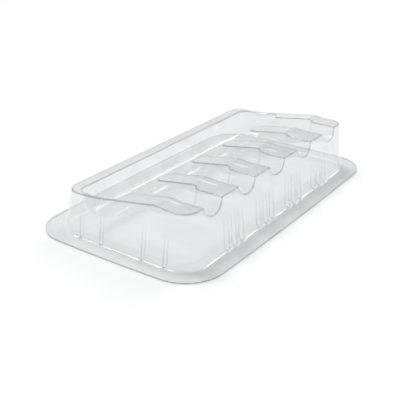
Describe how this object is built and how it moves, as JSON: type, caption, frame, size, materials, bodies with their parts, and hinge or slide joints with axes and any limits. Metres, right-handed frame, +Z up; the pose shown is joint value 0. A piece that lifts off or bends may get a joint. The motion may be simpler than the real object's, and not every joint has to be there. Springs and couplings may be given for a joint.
{
  "type": "humidity dome tray",
  "caption": "Clear thermoformed humidity dome with a long channel and cross pockets, lifting off a clear shallow base tray.",
  "frame": {"origin": "on the surface that the tray rests on, at the middle of the footprint", "axes": "+Z up, Y along the long walls, +X towards the front wall where the pockets open"},
  "size_m": [0.221, 0.38, 0.0606],
  "materials": {
    "cover_sheet": "gloss, clear thermoformed sheet",
    "tray_sheet": "gloss, clear thermoformed sheet"
  },
  "bodies": {
    "tray": {"base_tray": "tray_sheet"},
    "cover": {"dome_cover": "cover_sheet"}
  },
  "joints": [
    {"name": "cover_lift", "type": "slide", "parent": "tray", "child": "cover", "axis": [0, 0, 1], "range_m": [0, 0.12]}
  ]
}
